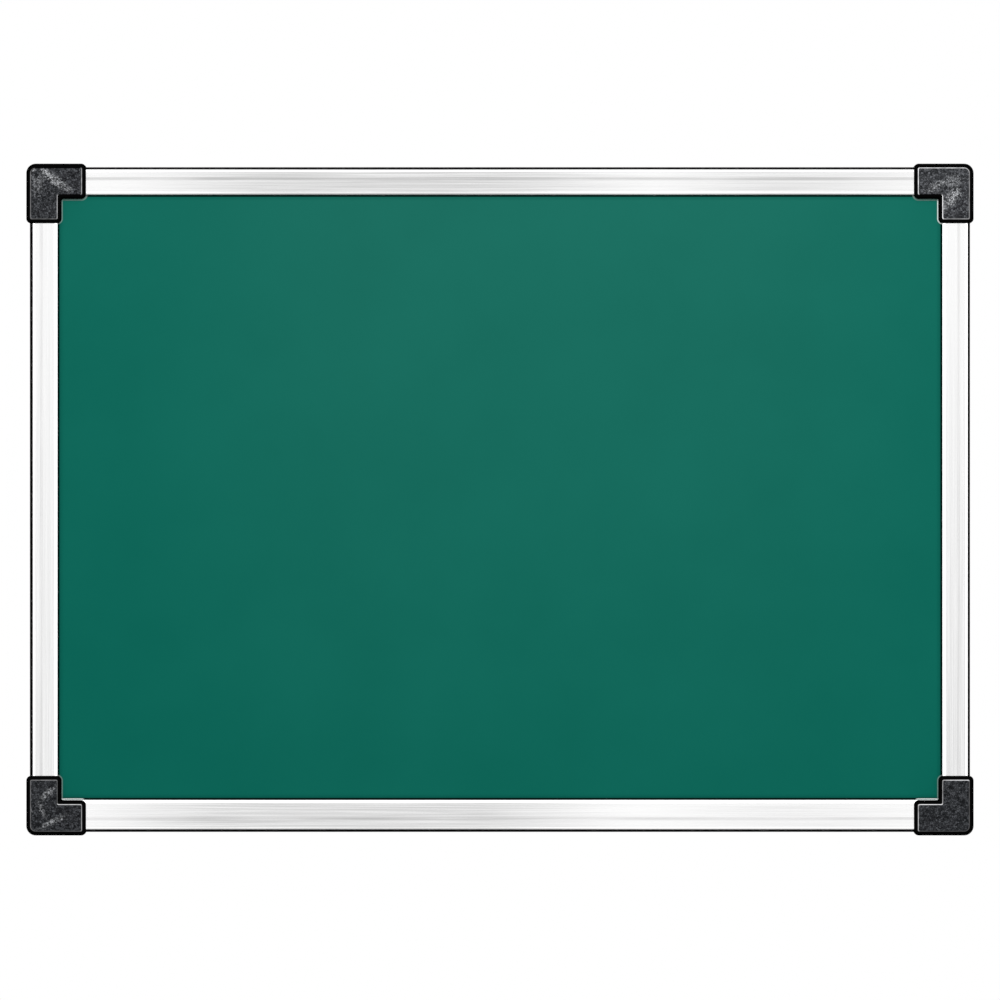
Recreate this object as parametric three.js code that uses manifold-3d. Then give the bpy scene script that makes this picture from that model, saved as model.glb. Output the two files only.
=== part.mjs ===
// Green chalkboard in landscape format: a glued panel in a slim aluminium frame, with black plastic
// corner caps and two D-ring hangers behind it.
// Millimetres. X runs to the viewer's right, Z is up and Y points back into the wall. The origin is
// on the wall plane, behind the middle of the board, so the whole board lies at y below zero.
import * as THREE from 'three';
import { mergeVertices } from 'three/addons/utils/BufferGeometryUtils.js';
import Module from 'manifold-3d';

const wasm = await Module();
wasm.setup();

// Outside of the aluminium frame
const frameWidth = 594;
const frameHeight = 420;

// Panel: enamelled steel sheet, fibreboard core and galvanised back sheet, glued together
const writingSheetThick = 0.4;
const coreThick = 8.2;
const backSheetThick = 0.3;
const glueLine = 0.1;
const panelSlip = 0.15; // play between the panel and each side of the rail's groove
const panelEdgeGap = 0.7; // room for the panel to grow, between its edge and the groove's floor

// Aluminium rails
const railFace = 17.8; // width of the top and side rails, seen from the front
const bottomRailFace = 20.6;
const railWall = 1.3;
const chamberWidth = 9.7; // hollow along the outer edge, which takes the tenons of the caps
const chamberCornerRadius = 1.5;
const railBackRadius = 0.8;
const lipRadius = 1;
const faceLinePlace = 7.3; // fine line along the face, measured from the outer edge
const faceLineWidth = 1.2;
const faceLineDepth = 0.25;
const railCornerWeb = 1.4; // plastic between a rail's end and the inner edge of the rail beside it

// Corner caps
const capStand = 2.2; // how far a cap stands out past the rails' outer edges
const capLap = 2.3; // how far it reaches past the inner edge of a top or side rail
const capArmLength = 35.5; // from the frame's outer corner to the end of each arm
const capFrontWall = 2.05;
const capFilletRadius = 2;
const capCornerRadius = 6;
const capEndRadius = 3;
const capInnerRadius = 1;
const capFit = 0.15; // play between a cap and the rails and panel in it
const tenonFit = 0.2; // play between a tenon and its chamber
const tenonPastScrew = 8;
const tenonChamfer = 0.8;
const pocketRib = 1.6; // ribs that are left round and across the hollow in the cap's corner

// Countersunk screws that hold the rails on the tenons
const screwEdge = 5.5; // from a screw's axis to the end of its arm
const screwHeadRadius = 2.8;
const screwHeadRim = 0.3;
const screwThreadRadius = 1.45;
const screwCoreRadius = 1.1;
const screwPitch = 1.6;
const screwTipLength = 2;
const screwSink = 0.25; // depth of the head below the cap's back face
const screwPlay = 0.15; // radial play round the thread and the head
const screwTipWall = 1.4; // tenon left in front of the tip
const recessWidth = 0.8;
const recessLength = 3;
const recessDepth = 1;
const screwTurnStep = 0.7; // each screw stops at another angle, in radians

// D-ring hangers on the backs of the side rails
const hangerDrop = 105; // ring's bar below the frame's top edge
const hangerInset = 8; // hanger's middle from the frame's outer edge
const ringWireRadius = 0.8;
const ringBarHalf = 4.6; // straight half of the bar, from the middle to the bend
const ringBendRadius = 1.8;
const ringSideLength = 2;
const ringJointGap = 0.3; // the wire's two ends meet inside the strap's knuckle
const ringBarPlay = 0.1;
const strapThick = 0.6;
const strapWidth = 8;
const strapSeat = 0.1; // between the strap and the rail
const strapWrap = 290; // degrees that the strap's end is rolled round the bar
const hangerWallGap = 0.1; // between the strap's knuckle and the wall
const rivetDrop = 16; // rivet below the ring's bar
const rivetBodyRadius = 1.6;
const rivetHeadRadius = 3.2;
const rivetHeadHeight = 0.9;
const rivetBulbRadius = 2.4;
const rivetBulbLength = 3;
const rivetPlay = 0.1;
const mandrelRadius = 0.8;
const mandrelDepth = 0.7;

// Worked out from the sizes above
const knuckleInner = ringWireRadius + ringBarPlay;
const knuckleOuter = knuckleInner + strapThick;
const railStandoff = hangerWallGap + 2 * knuckleOuter + strapSeat;
const panelThick = backSheetThick + coreThick + writingSheetThick + 2 * glueLine;
const railDepth = panelThick + 2 * panelSlip + 2 * railWall;
const grooveFloor = railWall + chamberWidth + railWall;
const faceEdgeRadius = chamberCornerRadius + railWall;
const panelInset = grooveFloor + panelEdgeGap;
const panelWidth = frameWidth - 2 * panelInset;
const panelHeight = frameHeight - 2 * panelInset;
const panelBack = railStandoff + railWall + panelSlip;
const capDepth = railStandoff + railDepth + capFit + capFrontWall;
const capArmWidth = railFace + capLap;
const railEndInset = Math.max(railFace, bottomRailFace) + railCornerWeb;
const screwPlace = capArmLength - screwEdge;
const screwMiddle = railWall + chamberWidth / 2;
const tenonFront = railStandoff + railDepth - railWall - tenonFit;
const screwLength = tenonFront - screwTipWall - screwSink;
const ringBowRadius = ringBarHalf + ringBendRadius;
const hangerHeight = frameHeight / 2 - hangerDrop;
const hangerAxisDepth = railStandoff - strapSeat - knuckleOuter;

// Axes that sections are turned onto
const right = new THREE.Vector3(1, 0, 0);
const back = new THREE.Vector3(0, 1, 0);
const up = new THREE.Vector3(0, 0, 1);
const left = right.clone().negate();
const front = back.clone().negate();
const down = up.clone().negate();

const finishes = {
  enamel: new THREE.MeshStandardMaterial({ color: 0x176b5e, roughness: 0.75, metalness: 0 }),
  fibreboard: new THREE.MeshStandardMaterial({ color: 0x8d6a45, roughness: 0.95, metalness: 0 }),
  galvanised: new THREE.MeshStandardMaterial({ color: 0xaeb3b6, roughness: 0.5, metalness: 0.9 }),
  aluminium: new THREE.MeshStandardMaterial({ color: 0xe2e3e5, roughness: 0.35, metalness: 0.95 }),
  capPlastic: new THREE.MeshStandardMaterial({ color: 0x2b2c30, roughness: 0.6, metalness: 0 }),
  zinc: new THREE.MeshStandardMaterial({ color: 0xc4c7ca, roughness: 0.35, metalness: 1 }),
};

// Solid for joining and cutting, from a closed geometry
function toSolid(geometry) {
  const bare = geometry.clone();
  bare.deleteAttribute('normal');
  bare.deleteAttribute('uv');
  const welded = mergeVertices(bare);
  const vertProperties = new Float32Array(welded.attributes.position.array);
  const triVerts = new Uint32Array(welded.index.array);
  return new wasm.Manifold(new wasm.Mesh({ numProp: 3, vertProperties, triVerts }));
}

function toGeometry(solid) {
  const mesh = solid.getMesh();
  const geometry = new THREE.BufferGeometry();
  geometry.setAttribute('position', new THREE.BufferAttribute(mesh.vertProperties, 3));
  geometry.setIndex(new THREE.BufferAttribute(mesh.triVerts, 1));
  geometry.computeVertexNormals();
  return geometry;
}

function cutAll(solid, cutters) {
  return cutters.reduce((rest, cutter) => rest.subtract(cutter), solid);
}

// Box between two corners
function block(low, high) {
  const box = new THREE.BoxGeometry(high[0] - low[0], high[1] - low[1], high[2] - low[2]);
  box.translate((low[0] + high[0]) / 2, (low[1] + high[1]) / 2, (low[2] + high[2]) / 2);
  return box;
}

function prism(shape, depth, curveSegments) {
  return new THREE.ExtrudeGeometry(shape, { depth, bevelEnabled: false, curveSegments });
}

// Turns a geometry so that its own axes lie along three given directions
function turned(geometry, xTo, yTo, zTo) {
  return geometry.applyMatrix4(new THREE.Matrix4().makeBasis(xTo, yTo, zTo));
}

// Turned piece round the Y axis, from [radius, y] pairs that run upwards
function turning(profile, segments) {
  return new THREE.LatheGeometry(profile.map(([radius, y]) => new THREE.Vector2(radius, y)), segments);
}

function piece(name, geometry, finish) {
  const mesh = new THREE.Mesh(geometry, finish);
  mesh.name = name;
  return mesh;
}

// The chamber's outline, drawn in by a clearance for the tenon. u runs inwards from the frame's outer
// edge and v runs forwards from the rail's back face.
function chamberOutline(inset) {
  const uLow = railWall + inset;
  const uHigh = railWall + chamberWidth - inset;
  const vLow = railWall + inset;
  const vHigh = railDepth - railWall - inset;
  const radius = chamberCornerRadius - inset;
  const outline = new THREE.Shape();
  outline.moveTo(uLow, vLow);
  outline.lineTo(uHigh, vLow);
  outline.lineTo(uHigh, vHigh);
  outline.absarc(uLow + radius, vHigh - radius, radius, Math.PI / 2, Math.PI, false);
  outline.closePath();
  return outline;
}

// Rail section: outer hollow, panel groove open inwards between two lips, rounded outer edges
function railSection(face) {
  const section = new THREE.Shape();
  section.moveTo(railBackRadius, 0);
  section.lineTo(face, 0);
  section.lineTo(face, railWall);
  section.lineTo(grooveFloor, railWall);
  section.lineTo(grooveFloor, railDepth - railWall);
  section.lineTo(face, railDepth - railWall);
  section.absarc(face - lipRadius, railDepth - lipRadius, lipRadius, 0, Math.PI / 2, false);
  section.lineTo(faceLinePlace + faceLineWidth / 2, railDepth);
  section.lineTo(faceLinePlace, railDepth - faceLineDepth);
  section.lineTo(faceLinePlace - faceLineWidth / 2, railDepth);
  const edgeHeight = railDepth - faceEdgeRadius;
  section.absarc(faceEdgeRadius, edgeHeight, faceEdgeRadius, Math.PI / 2, Math.PI, false);
  section.absarc(railBackRadius, railBackRadius, railBackRadius, Math.PI, 1.5 * Math.PI, false);
  section.holes.push(chamberOutline(0));
  return section;
}

// Round hole through a rail's back wall, at (u, along) in the rail's own axes
function backWallHole(u, along, radius) {
  const hole = new THREE.CylinderGeometry(radius, radius, 2 * railWall, 16);
  hole.translate(u, railWall / 2, along);
  return toSolid(hole);
}

// A rail in its own axes: X is u, Y is v and Z runs along it, with the middle of its length at zero
function railGeometry(face, outsideLength, rivetAlong) {
  const length = outsideLength - 2 * railEndInset;
  const body = prism(railSection(face), length, 2);
  body.translate(0, 0, -length / 2);
  const screwAlong = outsideLength / 2 - screwPlace;
  const holeRadius = screwThreadRadius + screwPlay;
  const holes = [-screwAlong, screwAlong].map((along) => backWallHole(screwMiddle, along, holeRadius));
  if (rivetAlong !== undefined) {
    holes.push(backWallHole(hangerInset, rivetAlong, rivetBodyRadius + rivetPlay));
  }
  return toGeometry(cutAll(toSolid(body), holes));
}

// Places a rail with its outer edge on one side of the frame, its groove facing inwards
function placedRail(name, face, outsideLength, inwards, rivetAlong) {
  const rail = piece(name, railGeometry(face, outsideLength, rivetAlong), finishes.aluminium);
  const along = new THREE.Vector3().crossVectors(inwards, front);
  rail.setRotationFromMatrix(new THREE.Matrix4().makeBasis(inwards, front, along));
  const halfSpan = new THREE.Vector3(frameWidth / 2, 0, frameHeight / 2);
  rail.position.copy(inwards).multiply(halfSpan).negate();
  rail.position.y = -railStandoff;
  return rail;
}

function buildFrame() {
  const rivetHeight = hangerHeight - rivetDrop;
  const frame = new THREE.Group();
  frame.add(placedRail('rail_top', railFace, frameWidth, down));
  frame.add(placedRail('rail_bottom', bottomRailFace, frameWidth, up));
  frame.add(placedRail('rail_left', railFace, frameHeight, right, -rivetHeight));
  frame.add(placedRail('rail_right', railFace, frameHeight, left, rivetHeight));
  return frame;
}

// The three layers, each a flat sheet with a glue line to the next
function buildPanel() {
  const panel = new THREE.Group();
  const layers = [
    ['back_sheet', backSheetThick, finishes.galvanised],
    ['core_panel', coreThick, finishes.fibreboard],
    ['writing_sheet', writingSheetThick, finishes.enamel],
  ];
  let depth = panelBack;
  for (const [name, thick, finish] of layers) {
    const layer = piece(name, new THREE.BoxGeometry(panelWidth, thick, panelHeight), finish);
    layer.position.y = -(depth + thick / 2);
    depth += thick + glueLine;
    panel.add(layer);
  }
  return panel;
}

// L-shaped outline of a cap, in axes that run along its two arms from the frame's outer corner
function capOutline() {
  const low = -capStand;
  const end = capArmLength - capEndRadius;
  const outline = new THREE.Shape();
  const corner = low + capCornerRadius;
  outline.absarc(corner, corner, capCornerRadius, Math.PI, 1.5 * Math.PI, false);
  outline.absarc(end, low + capEndRadius, capEndRadius, 1.5 * Math.PI, 2 * Math.PI, false);
  outline.absarc(end, capArmWidth - capEndRadius, capEndRadius, 0, Math.PI / 2, false);
  const inner = capArmWidth + capInnerRadius;
  outline.absarc(inner, inner, capInnerRadius, 1.5 * Math.PI, Math.PI, true);
  outline.absarc(capArmWidth - capEndRadius, end, capEndRadius, 0, Math.PI / 2, false);
  outline.absarc(low + capEndRadius, end, capEndRadius, Math.PI / 2, Math.PI, false);
  outline.closePath();
  return outline;
}

// Filled block of a cap with its front edges rounded and its back cut flat at the wall plane
function capBlock() {
  const rounded = new THREE.ExtrudeGeometry(capOutline(), {
    depth: capDepth,
    bevelThickness: capFilletRadius,
    bevelSize: capFilletRadius,
    bevelOffset: -capFilletRadius,
    bevelSegments: 4,
    curveSegments: 2,
  });
  rounded.translate(0, 0, capFilletRadius - capDepth);
  const past = capArmLength + capStand;
  const behind = block([-past, -past, 0], [past, past, capDepth]);
  return toSolid(rounded).subtract(toSolid(behind));
}

// In a cap's own axes Z points to the wall, X runs along one arm and Y along the other
const capArms = [
  { along: right, across: back },
  { along: back, across: right },
];

function onArm(arm, along, across) {
  return arm.along.clone().multiplyScalar(along).addScaledVector(arm.across, across);
}

// Space that a rail takes inside a cap
function railSpace(arm, face) {
  const near = onArm(arm, railEndInset - capFit, -capFit);
  const far = onArm(arm, capArmLength + capStand, face + capFit);
  const front = -railStandoff - railDepth - capFit;
  return block([near.x, near.y, front], [far.x, far.y, capFit - railStandoff]);
}

function panelSpace() {
  const near = panelInset - capFit;
  const far = capArmLength + capStand;
  const low = -panelBack - panelThick - capFit;
  return block([near, near, low], [far, far, capFit - panelBack]);
}

// One half of the hollow behind the cap's corner, beside the rib that crosses it. It starts where the
// rounding of the corner ends, so that no wall gets thin.
function cornerPocket(arm) {
  const start = capCornerRadius - capStand;
  const low = capFrontWall - capStand;
  const high = panelInset - pocketRib;
  const step = pocketRib / Math.SQRT2;
  const corners = [[start, low], [high, low], [high, high - step], [start, start - step]];
  const outline = new THREE.Shape(corners.map(([along, across]) => onArm(arm, along, across)));
  const pocket = prism(outline, capDepth, 1);
  pocket.translate(0, 0, capFrontWall - capDepth);
  return pocket;
}

// Tenon from the cap's corner block to its chamfered tip inside the rail
function tenon(arm) {
  const length = screwPlace + tenonPastScrew - panelInset;
  const bar = new THREE.ExtrudeGeometry(chamberOutline(tenonFit), {
    depth: length - 2 * tenonChamfer,
    bevelThickness: tenonChamfer,
    bevelSize: tenonChamfer,
    bevelOffset: -tenonChamfer,
    bevelSegments: 1,
    curveSegments: 1,
  });
  bar.translate(0, 0, tenonChamfer - length / 2);
  turned(bar, arm.across, down, new THREE.Vector3().crossVectors(arm.across, down));
  const middle = onArm(arm, panelInset + length / 2, 0);
  bar.translate(middle.x, middle.y, -railStandoff);
  return bar;
}

// Room for a screw in a cap: countersink in the back wall and pilot hole in the tenon
function screwSpace(arm) {
  const headRadius = screwHeadRadius + screwPlay;
  const boreRadius = screwThreadRadius + screwPlay;
  const rim = screwSink + screwHeadRim + screwPlay;
  const bottom = screwSink + screwLength + screwPlay;
  const profile = [
    [0, -bottom],
    [boreRadius, -bottom],
    [boreRadius, boreRadius - headRadius - rim],
    [headRadius, -rim],
    [headRadius, screwSink],
    [0, screwSink],
  ];
  const space = turned(turning(profile, 16), right, up, front);
  const middle = onArm(arm, screwPlace, screwMiddle);
  space.translate(middle.x, middle.y, 0);
  return space;
}

// Cap moulded in one piece. Each arm is given the width of the rail that it holds.
function capGeometry(faces) {
  const hollows = capArms.flatMap((arm, i) => [railSpace(arm, faces[i]), cornerPocket(arm)]);
  const shell = cutAll(capBlock(), [panelSpace(), ...hollows].map(toSolid));
  const joined = capArms.reduce((solid, arm) => solid.add(toSolid(tenon(arm))), shell);
  return toGeometry(cutAll(joined, capArms.map((arm) => toSolid(screwSpace(arm)))));
}

// Countersunk screw with its head at the top of the Y axis, a threaded shank and a cross recess
function screwGeometry() {
  const neck = screwHeadRim + screwHeadRadius - screwCoreRadius;
  const profile = [[0, 0], [screwHeadRadius, 0], [screwHeadRadius, -screwHeadRim], [screwCoreRadius, -neck]];
  const threadEnd = screwLength - screwTipLength;
  const turns = Math.floor((threadEnd - neck) / screwPitch);
  for (let i = 1; i <= turns; i += 1) {
    const foot = threadEnd - (turns - i) * screwPitch;
    profile.push([screwThreadRadius, screwPitch / 2 - foot], [screwCoreRadius, -foot]);
  }
  profile.push([0, -screwLength]);
  const arm = [recessLength / 2, recessDepth, recessWidth / 2];
  const slot = block([-arm[0], -arm[1], -arm[2]], [arm[0], arm[1], arm[2]]);
  const crossSlot = block([-arm[2], -arm[1], -arm[0]], [arm[2], arm[1], arm[0]]);
  return toGeometry(cutAll(toSolid(turning(profile.reverse(), 12)), [toSolid(slot), toSolid(crossSlot)]));
}

// The four corners: where each is, how its arms lie, and the widths of the rails it holds
const corners = [
  { name: 'top_left', x: -1, z: 1, first: right, second: down, faces: [railFace, railFace] },
  { name: 'top_right', x: 1, z: 1, first: down, second: left, faces: [railFace, railFace] },
  { name: 'bottom_right', x: 1, z: -1, first: left, second: up, faces: [bottomRailFace, railFace] },
  { name: 'bottom_left', x: -1, z: -1, first: up, second: right, faces: [railFace, bottomRailFace] },
];

// A cap and its two screws, in a group that stands on the frame's outer corner
function buildCorner(corner, number) {
  const group = new THREE.Group();
  group.setRotationFromMatrix(new THREE.Matrix4().makeBasis(corner.first, corner.second, back));
  group.position.set(corner.x * frameWidth / 2, 0, corner.z * frameHeight / 2);
  group.add(piece(`corner_cap_${corner.name}`, capGeometry(corner.faces), finishes.capPlastic));
  capArms.forEach((arm, i) => {
    const order = capArms.length * number + i;
    const screw = piece(`corner_screw_${order + 1}`, screwGeometry(), finishes.zinc);
    screw.position.copy(onArm(arm, screwPlace, screwMiddle)).setZ(-screwSink);
    screw.rotation.set(Math.PI / 2, order * screwTurnStep, 0, 'XYZ');
    group.add(screw);
  });
  return group;
}

// Ring of bent wire in the XZ plane: a straight bar through the origin, which the strap holds, and a
// bow that hangs below it. The wire's ends meet in the middle of the bar.
class RingWire extends THREE.Curve {
  constructor() {
    super();
    const turnHeight = -ringBendRadius;
    const bowHeight = turnHeight - ringSideLength;
    this.path = new THREE.Path();
    this.path.moveTo(ringJointGap / 2, 0);
    this.path.absarc(ringBarHalf, turnHeight, ringBendRadius, Math.PI / 2, 0, true);
    this.path.absarc(0, bowHeight, ringBowRadius, 0, Math.PI, true);
    this.path.absarc(-ringBarHalf, turnHeight, ringBendRadius, Math.PI, Math.PI / 2, true);
    this.path.lineTo(-ringJointGap / 2, 0);
  }

  getPoint(t, target = new THREE.Vector3()) {
    const point = this.path.getPointAt(t);
    return target.set(point.x, 0, point.y);
  }
}

function ringGeometry() {
  const wire = new THREE.Shape();
  wire.absarc(0, 0, ringWireRadius, 0, 2 * Math.PI, false);
  return new THREE.ExtrudeGeometry(wire, { steps: 36, curveSegments: 4, extrudePath: new RingWire() });
}

// Strap: a flat tongue against the rail, whose upper end is rolled round the ring's bar
function strapGeometry() {
  const length = rivetDrop + strapWidth / 2;
  const rollEnd = Math.PI - THREE.MathUtils.degToRad(strapWrap);
  const section = new THREE.Shape();
  section.moveTo(-knuckleOuter, -length);
  section.absarc(0, 0, knuckleOuter, Math.PI, rollEnd, true);
  section.absarc(0, 0, knuckleInner, rollEnd, Math.PI, false);
  section.lineTo(-knuckleInner, -length);
  section.closePath();
  const rolled = prism(section, strapWidth, 8);
  rolled.translate(0, 0, -strapWidth / 2);
  turned(rolled, back, up, right);
  const tongue = new THREE.Shape();
  tongue.moveTo(strapWidth / 2, knuckleOuter);
  tongue.lineTo(-strapWidth / 2, knuckleOuter);
  tongue.absarc(0, -rivetDrop, strapWidth / 2, Math.PI, 2 * Math.PI, false);
  tongue.closePath();
  const outline = prism(tongue, 4 * knuckleOuter, 6);
  outline.translate(0, 0, -2 * knuckleOuter);
  turned(outline, right, up, front);
  const holeRadius = rivetBodyRadius + rivetPlay;
  const hole = new THREE.CylinderGeometry(holeRadius, holeRadius, 4 * knuckleOuter, 16);
  hole.translate(0, 0, -rivetDrop);
  return toGeometry(toSolid(rolled).intersect(toSolid(outline)).subtract(toSolid(hole)));
}

// Blind rivet along Y: a domed head on the strap, a body through the rail's wall, a bulb behind it
function rivetGeometry() {
  const grip = strapThick + strapSeat + railWall + rivetPlay;
  const sphereRadius = (rivetHeadRadius ** 2 + rivetHeadHeight ** 2) / (2 * rivetHeadHeight);
  const profile = [
    [0, -grip - rivetBulbLength],
    [rivetBodyRadius, -grip - rivetBulbLength],
    [rivetBulbRadius, -grip - rivetBulbLength / 2],
    [rivetBodyRadius, -grip],
    [rivetBodyRadius, 0],
    [rivetHeadRadius, 0],
  ];
  const steps = 3;
  for (let i = 1; i <= steps; i += 1) {
    const radius = rivetHeadRadius + (mandrelRadius - rivetHeadRadius) * i / steps;
    const height = Math.sqrt(sphereRadius ** 2 - radius ** 2) - (sphereRadius - rivetHeadHeight);
    profile.push([radius, height]);
  }
  profile.push([mandrelRadius, rivetHeadHeight - mandrelDepth], [0, rivetHeadHeight - mandrelDepth]);
  return turning(profile, 16);
}

function buildHanger(side, direction) {
  const hanger = new THREE.Group();
  hanger.position.set(direction * (frameWidth / 2 - hangerInset), -hangerAxisDepth, hangerHeight);
  const rivet = piece(`hanger_rivet_${side}`, rivetGeometry(), finishes.zinc);
  rivet.position.set(0, -knuckleInner + rivetPlay, -rivetDrop);
  hanger.add(
    piece(`hanger_strap_${side}`, strapGeometry(), finishes.zinc),
    piece(`hanger_ring_${side}`, ringGeometry(), finishes.zinc),
    rivet,
  );
  return hanger;
}

const chalkboard = new THREE.Group();
chalkboard.add(buildPanel(), buildFrame(), ...corners.map(buildCorner));
chalkboard.add(buildHanger('left', -1), buildHanger('right', 1));

export default chalkboard;
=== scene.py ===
# %% [markdown]
# # A green chalkboard, dressed from its frame
# The board is a steel-faced panel in four aluminium rails, with a black plastic cap on each corner
# and two D-rings behind it. The construction arrives as a fixed frame in metres: X to the viewer's
# right, Z up, and Y back into the wall, so what we look at faces -Y. This script measures that frame
# and gives each visible piece the surface that the real one has.

# %% Load the frame
import math
from functools import partial

import bpy
import numpy as np
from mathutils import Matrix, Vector
from mathutils.geometry import tessellate_polygon


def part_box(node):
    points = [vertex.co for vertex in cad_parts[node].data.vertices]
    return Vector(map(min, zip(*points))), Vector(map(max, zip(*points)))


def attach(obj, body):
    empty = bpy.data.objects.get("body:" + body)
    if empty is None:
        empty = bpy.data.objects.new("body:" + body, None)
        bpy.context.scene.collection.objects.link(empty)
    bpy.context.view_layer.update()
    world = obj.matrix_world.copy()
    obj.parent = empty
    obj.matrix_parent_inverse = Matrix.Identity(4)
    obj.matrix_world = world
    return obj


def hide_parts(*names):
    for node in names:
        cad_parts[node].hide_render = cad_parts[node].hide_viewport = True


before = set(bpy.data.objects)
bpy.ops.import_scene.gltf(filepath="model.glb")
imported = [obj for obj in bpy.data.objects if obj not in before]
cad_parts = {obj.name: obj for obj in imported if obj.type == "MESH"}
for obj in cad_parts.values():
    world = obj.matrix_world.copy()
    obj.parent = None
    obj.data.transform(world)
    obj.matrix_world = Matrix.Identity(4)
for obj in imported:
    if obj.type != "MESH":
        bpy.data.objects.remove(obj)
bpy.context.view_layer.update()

# %% [markdown]
# ## Camera first
# The photograph is taken straight on from far away: no rail shows more of its inner side than the one
# across from it, and nothing gets narrower with distance. A long lens gives that. The width of the
# view comes from the photograph, where the frame covers 940 of the picture's 1000 pixels.

# %% Camera
MM = 0.001
PHOTO_WIDTH = 1000
FRAME_LEFT_PX, FRAME_RIGHT_PX = 29.8, 970.1
FRAME_TOP_PX, FRAME_BOTTOM_PX = 166.9, 832.2
CAMERA_DISTANCE, SENSOR_WIDTH = 9.0, 36.0


def add_object(name, data):
    """Makes an object of its data and puts it into the scene."""
    made = bpy.data.objects.new(name, data)
    bpy.context.scene.collection.objects.link(made)
    return made


frame_low, frame_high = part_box("rail_left")[0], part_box("rail_right")[1]
frame_top, frame_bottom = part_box("rail_top")[1].z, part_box("rail_bottom")[0].z
rail_front, rail_back = frame_low.y, frame_high.y
pixel = (frame_high.x - frame_low.x) / (FRAME_RIGHT_PX - FRAME_LEFT_PX)

camera_data = bpy.data.cameras.new("camera")
camera_data.sensor_width = SENSOR_WIDTH
camera_data.lens = SENSOR_WIDTH * CAMERA_DISTANCE / (PHOTO_WIDTH * pixel)
camera_data.clip_end = 100
camera = add_object("camera", camera_data)
right_of_middle = PHOTO_WIDTH / 2 - (FRAME_LEFT_PX + FRAME_RIGHT_PX) / 2
above_middle = (FRAME_TOP_PX + FRAME_BOTTOM_PX) / 2 - PHOTO_WIDTH / 2
camera.location = (right_of_middle * pixel, rail_front - CAMERA_DISTANCE, above_middle * pixel)
camera.rotation_euler = (math.pi / 2, 0, 0)
bpy.context.scene.camera = camera
print(f"a pixel is {1000 * pixel:.3f} mm, the lens {camera_data.lens:.0f} mm")

# %% [markdown]
# ## From arrays to meshes
# Each new piece is a grid of points, or a profile carried along a line, worked out as whole arrays.
# These helpers turn the arrays into meshes. A closed mesh whose faces point outwards has a positive
# volume, so the volume's sign tells whether it has to be turned inside out. Smooth shading, with the
# edges above an angle left sharp, keeps fillets soft and corners crisp.

# %% Finishing a mesh
SHARP_ANGLE = 30


def rows_of(mesh, kind, attribute, width, number=float):
    """One attribute of all of a mesh's elements as an array with that many numbers in a row."""
    elements = getattr(mesh, kind)
    values = np.zeros(len(elements) * width, number)
    elements.foreach_get(attribute, values)
    return values.reshape(-1, width)


def finish_mesh(mesh):
    """Turns the faces outwards and sets the shading. The volume is a sixth of the sum, over all
    triangles, of the first corner times the cross product of the other two."""
    mesh.calc_loop_triangles()
    corners = rows_of(mesh, "vertices", "co", 3)[rows_of(mesh, "loop_triangles", "vertices", 3, int)]
    volume = np.einsum("ij,ij", corners[:, 0], np.cross(corners[:, 1], corners[:, 2])) / 6
    if volume < 0:
        mesh.flip_normals()
    mesh.polygons.foreach_set("use_smooth", np.ones(len(mesh.polygons), bool))
    mesh.set_sharp_from_angle(angle=math.radians(SHARP_ANGLE))


# %% New meshes
def mesh_object(name, points, faces):
    mesh = bpy.data.meshes.new(name)
    faces = [list(face) for face in faces]
    mesh.from_pydata(np.asarray(points, float).reshape(-1, 3).tolist(), [], faces)
    mesh.validate()
    finish_mesh(mesh)
    return add_object(name, mesh)


def grid_quads(rows, columns, closed=True):
    """Quads of a grid of points, numbered row by row. Each quad joins a point to the next one in its
    row and to the same two in the next row. In a closed row the first point follows the last."""
    here = np.arange(rows * columns).reshape(rows, columns)
    following = np.roll(here, -1, axis=1)
    quads = np.stack((here[:-1], following[:-1], following[1:], here[1:]), axis=-1)
    return (quads if closed else quads[:, :-1]).reshape(-1, 4).tolist()


def stack(outlines, depths, axis):
    """Rings from flat outlines: each gets its own depth as the coordinate of that number."""
    return np.stack([np.insert(flat, axis, depth, axis=1) for flat, depth in zip(outlines, depths)])


def loft(name, rings):
    """Closed solid through a stack of outlines, an array of rings x points x 3, with flat ends."""
    count, size = rings.shape[:2]
    ends = [list(range(size))[::-1], list(range((count - 1) * size, count * size))]
    return mesh_object(name, rings, grid_quads(count, size) + ends)


# %% Cutting and joining
def apply_modifiers(piece):
    """Replaces a piece's mesh by what its modifiers make of it."""
    depsgraph = bpy.context.evaluated_depsgraph_get()
    finished = bpy.data.meshes.new_from_object(piece.evaluated_get(depsgraph))
    finished.name = piece.name
    piece.modifiers.clear()
    piece.data = finished
    finish_mesh(finished)
    return piece


def carve(piece, steps):
    """Joins other solids to a piece, or cuts them away, in the order of the steps."""
    for operation, other in steps:
        modifier = piece.modifiers.new(other.name, "BOOLEAN")
        modifier.operation = operation
        modifier.object = other
        modifier.solver = "EXACT"
    apply_modifiers(piece)
    for _, other in steps:
        bpy.data.objects.remove(other)
    return piece


# %% Lines
def arc(centre, radius, start, end, steps):
    """Points of a round or oval arc: the centre plus the radius times the cosine and sine of an angle
    that runs evenly from start to end, in degrees."""
    angle = np.radians(np.linspace(start, end, steps + 1))
    return np.asarray(centre) + np.asarray(radius) * np.column_stack((np.cos(angle), np.sin(angle)))


def circle(centre, radius, count):
    """A closed circle of that many points: an arc that ends one step before a full turn."""
    return arc(centre, radius, 0, 360 - 360 / count, count - 1)


def chain(*pieces):
    """One path from several: each piece is moved so that it starts where the one before it ends."""
    path = np.asarray(pieces[0], float)
    for piece in pieces[1:]:
        path = np.vstack((path, piece[1:] - piece[0] + path[-1]))
    return path


# %% Dressing a piece
def coat(piece, material):
    """Makes a material the only one of a piece."""
    piece.data.materials.clear()
    piece.data.materials.append(material)


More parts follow.
